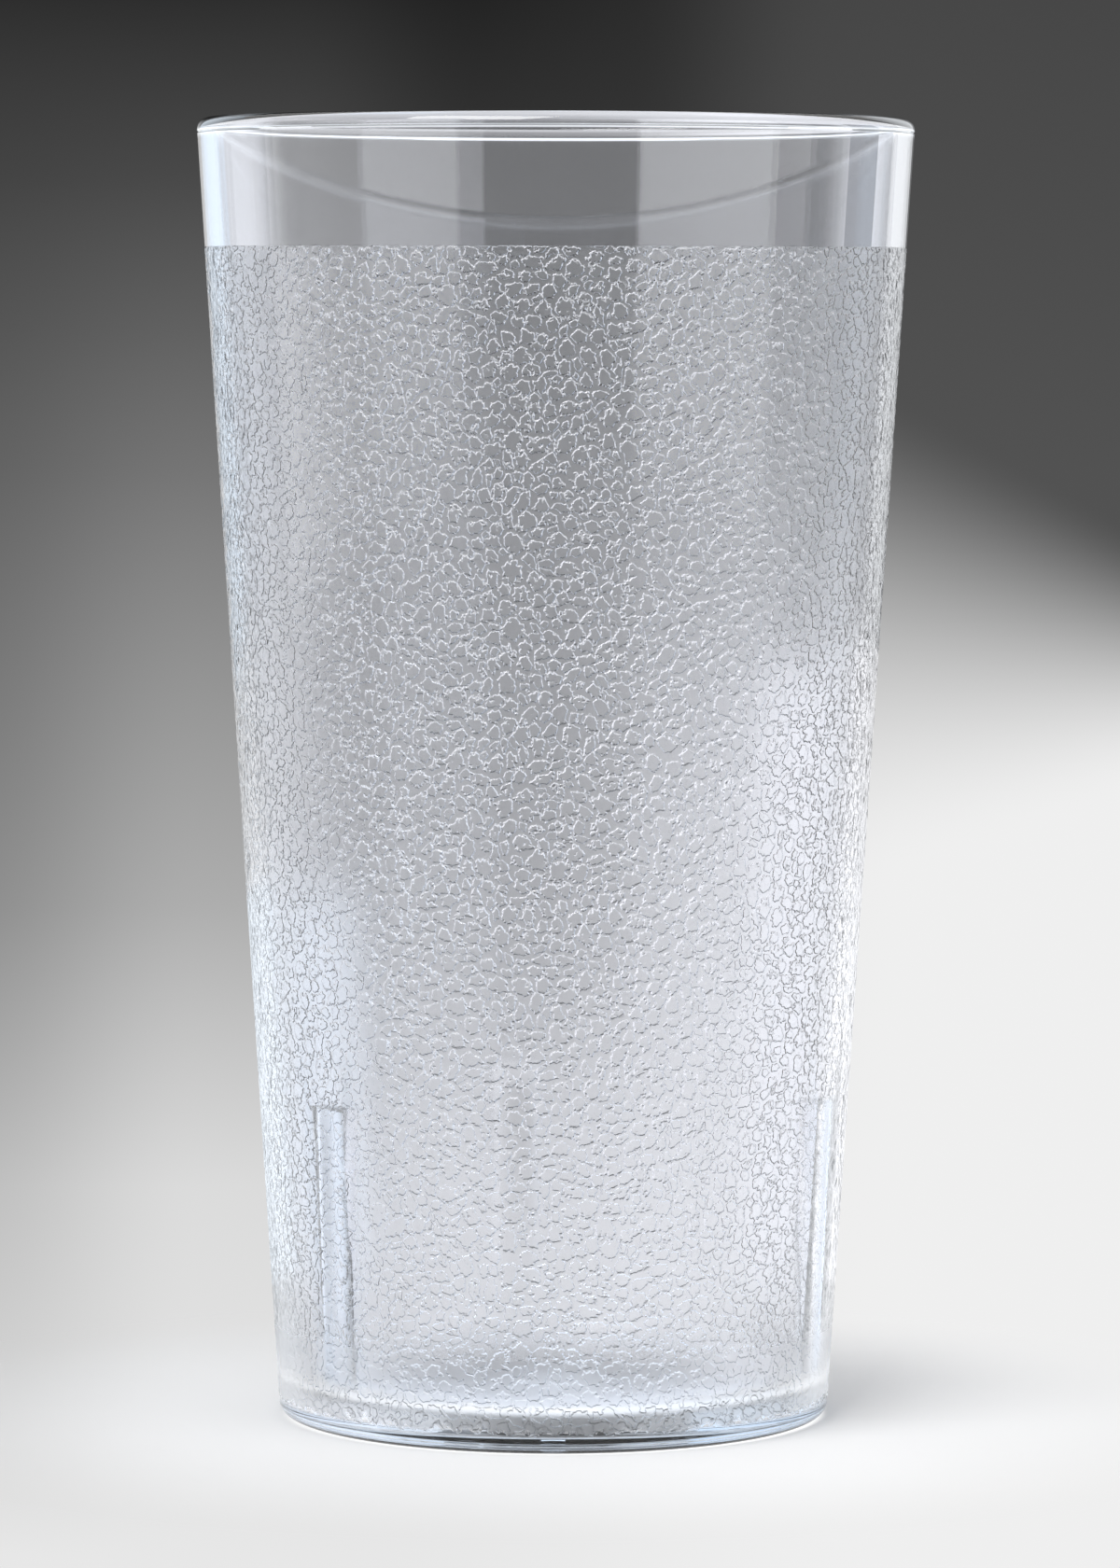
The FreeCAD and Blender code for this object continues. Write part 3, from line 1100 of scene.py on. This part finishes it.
@dataclass
class Sweep:
    """A round studio sweep: pale floor, rising at its rim into a darker backdrop.

    Its tones are laid out as the eye sees them: along is how far down a point appears, from 0 to
    1, and aside is how far beside the middle, as a share of its depth. Ranges are where a tone
    starts and ends.
    """

    floor_radius: float = 1.35
    corner: float = 0.45
    corner_steps: int = 10
    height: float = 1.9
    columns: int = 96
    eye_height: float = 0.13375
    eye_distance: float = 0.828
    least_depth: float = 0.3
    along_scale: float = 4.4985
    along_start: float = 0.178
    own_reach: Range = (0.036, 0.088)
    near_tone: float = 0.95
    # Painted light on the floor: self-lit and brighter under the cup's foot, self-lit straight
    # behind the cup where its shadow falls, and a painted highlight under its middle.
    under: float = 0.85
    painted_under_gain: float = 0.74
    painted_under_reach: Range = (0.0328, 0.0310)
    behind: float = 0.8
    behind_aside: Range = (0.036, 0.028)
    behind_start: Range = (0.0, 0.02)
    painted_highlight: float = 2.2
    painted_highlight_reach: Range = (0.0085, 0.0020)
    left_tones: tuple[Range, ...] = (
        (0.0, 0.027), (0.115, 0.067), (0.21, 0.119), (0.30, 0.178), (0.58, 0.423), (0.76, 0.71),
        (1.0, 0.80),
    )
    left_shade: float = 1.5
    left_aside: Range = (-0.05, -0.085)
    # Painted shadow on the right side: its dark tones, and the slanting edge, as along against
    # aside, where it gives way to white.
    painted_shadow_tones: tuple[Range, ...] = ((0.0, 0.063), (0.30, 0.085))
    white: float = 0.865
    painted_shadow_start: Range = (0.128, 2.53)
    painted_shadow_end: Range = (0.634, -1.57)
    middle_aside: Range = (-0.03, 0.05)
    hidden_shade: float = 0.46
    hidden_aside: Range = (0.038, 0.010)
    hidden_reach: Range = (0.25, 0.65)
    beside_aside: Range = (0.085, 0.125)
    low_heights: Range = (0.45, 0.05)

    def tone_group(self) -> EffectGroup:
        """Makes the node group for the sweep's tone from its Object coordinates.

        The left side pales evenly towards the floor; the right side stays dark as a painted shadow
        down to a slanting edge, where it turns white.

        Returns:
            The group, with Position in and, out, the Tone, the Distance from the cup's axis and
            the Behind mask of the floor that the cup hides.
        """
        made = EffectGroup(
            "sweep_tone", {"Position": "Vector"},
            {"Tone": "Color", "Distance": "Float", "Behind": "Float"},
        )
        n = made.nodes
        split = n.add("SeparateXYZ")
        n.feed(split.inputs[0], made.source["Position"])
        x, y, z = split.outputs
        depth = n.math("MAXIMUM", n.math("ADD", y, self.eye_distance), self.least_depth)
        drop = n.math("DIVIDE", n.math("SUBTRACT", self.eye_height, z), depth)
        along = n.math("MULTIPLY_ADD", drop, self.along_scale, self.along_start, clamp=True)
        aside = n.math("DIVIDE", x, depth)
        pale = (self.white, self.white, self.white, 1.0)
        dip = n.times(along, n.rest(along), n.ease(aside, *self.left_aside))
        dip = n.math("MULTIPLY", dip, self.left_shade, clamp=True)
        left = n.mix(dip, n.ramp(along, self.left_tones), BLACK)
        # Painted shadow on the right side, ending along a slanting edge.
        start = n.math("MULTIPLY_ADD", aside, self.painted_shadow_start[1], self.painted_shadow_start[0])
        end = n.math("MULTIPLY_ADD", aside, self.painted_shadow_end[1], self.painted_shadow_end[0])
        right = n.mix(n.ease(along, start, end), n.ramp(along, self.painted_shadow_tones), pale)
        middle = n.mix(n.ease(aside, *self.middle_aside), left, right)
        off_axis = n.math("ABSOLUTE", aside)
        distance = n.math("SQRT", n.math("ADD", n.times(x, x), n.times(y, y)))
        hidden = n.times(n.ease(off_axis, *self.hidden_aside), self.hidden_shade)
        hidden = n.times(hidden, n.ease(distance, *self.hidden_reach))
        shaded = n.mix(hidden, middle, BLACK)
        beside = n.times(n.ease(off_axis, *self.beside_aside), n.ease(z, *self.low_heights))
        behind = n.times(n.ease(off_axis, *self.behind_aside), n.ease(y, *self.behind_start))
        n.feed(made.result["Tone"], n.mix(beside, shaded, pale))
        n.feed(made.result["Distance"], distance)
        n.feed(made.result["Behind"], behind)
        return made

    def material(self) -> Material:
        """Makes the sweep's matt material, lit by the lamps near the cup and self-lit far off.

        Under the cup's foot and straight behind it, where the cup's shadow falls, the floor is
        self-lit as painted light, brighter under the foot, with a painted highlight under the cup's
        middle.

        Returns:
            The material.
        """
        material, n = blank_material("sweep")
        tone = self.tone_group().placed(n, Position=n.add("TexCoord").outputs["Object"])
        distance = tone.outputs["Distance"]
        matt = n.add("BsdfDiffuse")
        n.feed(matt.inputs["Color"], n.mix(self.near_tone, BLACK, tone.outputs["Tone"]))
        # Painted light: the floor under the foot is self-lit and brighter.
        inside = n.ease(distance, *self.painted_under_reach)
        under = n.times(inside, self.under)
        glow = n.add("Emission")
        n.feed(glow.inputs["Color"], tone.outputs["Tone"])
        # Painted highlight on the floor under the cup's middle.
        painted_highlight = n.ease(distance, *self.painted_highlight_reach)
        gain = n.math("MULTIPLY_ADD", under, self.painted_under_gain, 1.0)
        n.feed(glow.inputs["Strength"], n.math("MULTIPLY_ADD", painted_highlight, self.painted_highlight, gain))
        mixed = n.add("MixShader")
        own = n.ease(distance, *self.own_reach)
        # Painted light: the floor straight behind the cup is self-lit where its shadow falls.
        behind = n.times(tone.outputs["Behind"], self.behind)
        n.feed(mixed.inputs[0], n.math("MAXIMUM", n.math("MAXIMUM", own, under), behind))
        n.feed(mixed.inputs[1], matt.outputs[0])
        n.feed(mixed.inputs[2], glow.outputs[0])
        n.feed(n.add("OutputMaterial").inputs[0], mixed.outputs[0])
        return material

    def build(self) -> Object:
        """Makes the sweep.

        Returns:
            The object.
        """
        corner = arc((self.floor_radius, self.corner), self.corner, -90, 0, self.corner_steps)
        profile = [(0.0, 0.0), (0.3, 0.0), *corner, (self.floor_radius + self.corner, self.height)]
        bm = bmesh.new()
        verts = [bm.verts.new((r, 0.0, z)) for r, z in profile]
        edges = [bm.edges.new(pair) for pair in zip(verts, verts[1:])]
        spin(bm, verts + edges, math.tau, self.columns)
        bmesh.ops.remove_doubles(bm, verts=bm.verts, dist=MERGE)
        bmesh.ops.recalc_face_normals(bm, faces=bm.faces)
        for f in bm.faces:
            f.smooth = True
        sweep = make_object("sweep", bm)
        sweep.data.materials.append(self.material())
        return sweep


@dataclass
class Studio:
    """The sweep, the softboxes round the cup, the soft lamp above it and the world light.

    The whole studio is turned about the cup's axis so that it stands square to the camera.
    """

    turn: float = -9.0
    sweep: Sweep = field(default_factory=Sweep)
    canopy_place: tuple[float, float, float] = (-0.45, -0.75, 1.0)
    canopy_aim: tuple[float, float, float] = (0.0, 0.0, 0.08)
    canopy_size: Range = (0.8, 0.7)
    canopy_energy: float = 14.0
    world_colour: Colour = SOFT_WHITE
    world_strength: float = 0.42
    panels: tuple[Softbox, ...] = (
        Softbox("panel_back_left", -40.0, -21.0, 0.85, 0.02, 0.62, 1.15, (0.80, 0.90, 1.0, 1.0)),
        Softbox("panel_side_left", -76.0, -40.0, 0.85, 0.02, 0.62, 0.90, (0.90, 0.94, 1.0, 1.0)),
        Softbox("panel_fill_right", 10.5, 16.0, 0.86, 0.02, 0.62, 0.25, (0.95, 0.97, 1.0, 1.0)),
        Softbox("panel_back_right", 16.0, 40.0, 0.85, 0.02, 0.62, 1.00, (0.96, 0.98, 1.0, 1.0)),
        Softbox("panel_side_right", 40.0, 76.0, 0.85, 0.02, 0.62, 0.45, (0.96, 0.98, 1.0, 1.0)),
        Softbox("panel_front_left", -149.0, -76.0, 0.80, 0.0, 0.70, 1.85, SOFT_WHITE, 0.72),
        Softbox("panel_front_right", 106.0, 154.0, 0.80, 0.0, 0.70, 2.15, SOFT_WHITE, 0.72),
        Softbox("card_left", -66.0, -18.0, 0.11, 0.0, 0.052, 1.12, (0.86, 0.93, 1.0, 1.0)),
        Softbox("card_right", 18.0, 66.0, 0.11, 0.0, 0.084, 1.20, (0.98, 0.98, 1.0, 1.0)),
        Softbox("panel_back_high", -60.0, 60.0, 0.85, 0.62, 1.30, 0.80),
        Softbox("panel_front", 154.0, 211.0, 1.05, 0.0, 0.50, 0.85, (0.98, 0.99, 1.0, 1.0)),
    )

    def build(self) -> list[Object]:
        """Makes everything that stands round the cup.

        Returns:
            The stage's objects.
        """
        made = [self.sweep.build(), *(panel.build() for panel in self.panels), self.canopy()]
        for item in made:
            item.matrix_basis = Matrix.Rotation(math.radians(self.turn), 4, "Z") @ item.matrix_basis
        self.world()
        return made

    def canopy(self) -> Object:
        """Makes the large soft lamp above and in front of the cup, to its left.

        Returns:
            The lamp's object.
        """
        lamp = bpy.data.lights.new("canopy", "AREA")
        lamp.shape = "RECTANGLE"
        lamp.size, lamp.size_y = self.canopy_size
        lamp.energy = self.canopy_energy
        item = bpy.data.objects.new("canopy", lamp)
        place = Vector(self.canopy_place)
        aim = Vector(self.canopy_aim) - place
        turn = aim.to_track_quat("-Z", "Y").to_matrix().to_4x4()
        item.matrix_basis = Matrix.Translation(place) @ turn
        item.visible_camera = False
        bpy.context.collection.objects.link(item)
        return item

    def world(self) -> None:
        """Sets a plain soft light from all round."""
        world = bpy.data.worlds.new("studio_world")
        world.use_nodes = True
        background = world.node_tree.nodes["Background"]
        background.inputs["Color"].default_value = self.world_colour
        background.inputs["Strength"].default_value = self.world_strength
        bpy.context.scene.world = world


@dataclass
class Viewpoint:
    """The camera, standing slightly below the rim's height, in degrees and metres."""

    azimuth: float = 261.0
    distance: float = 0.82798
    height: float = 0.13375
    pitch: float = -4.10
    roll: float = 0.116
    lens: float = 161.95
    shift: float = 0.0035
    clip: Range = (0.05, 20.0)

    def build(self) -> Object:
        """Makes the camera and gives it to the scene.

        Returns:
            The camera's object.
        """
        data = bpy.data.cameras.new("camera")
        data.sensor_fit = "AUTO"
        data.lens = self.lens
        data.shift_x = self.shift
        data.clip_start, data.clip_end = self.clip
        camera = bpy.data.objects.new("camera", data)
        angle = math.radians(self.azimuth)
        away = Matrix.Rotation(angle, 3, "Z") @ Vector((self.distance, 0.0, 0.0))
        place = away + Vector((0.0, 0.0, self.height))
        heading = Matrix.Rotation(angle + math.radians(90), 4, "Z")
        tilt = Matrix.Rotation(math.radians(90 + self.pitch), 4, "X")
        twist = Matrix.Rotation(math.radians(self.roll), 4, "Z")
        camera.matrix_world = Matrix.Translation(place) @ heading @ tilt @ twist
        bpy.context.collection.objects.link(camera)
        bpy.context.scene.camera = camera
        return camera


def main() -> None:
    """Builds the cup, its finish, the studio and the camera in that order."""
    logging.basicConfig(level=logging.INFO, format="%(name)s: %(message)s")
    cup = TumblerShell().build()
    cup.data.materials.append(ClearPlastic().build())
    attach(cup, "root")
    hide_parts("tumbler")
    LOG.info("cup: %d faces", len(cup.data.polygons))
    Studio().build()
    Viewpoint().build()
    bpy.context.scene.view_settings.view_transform = "Standard"


if __name__ == "__main__":
    main()
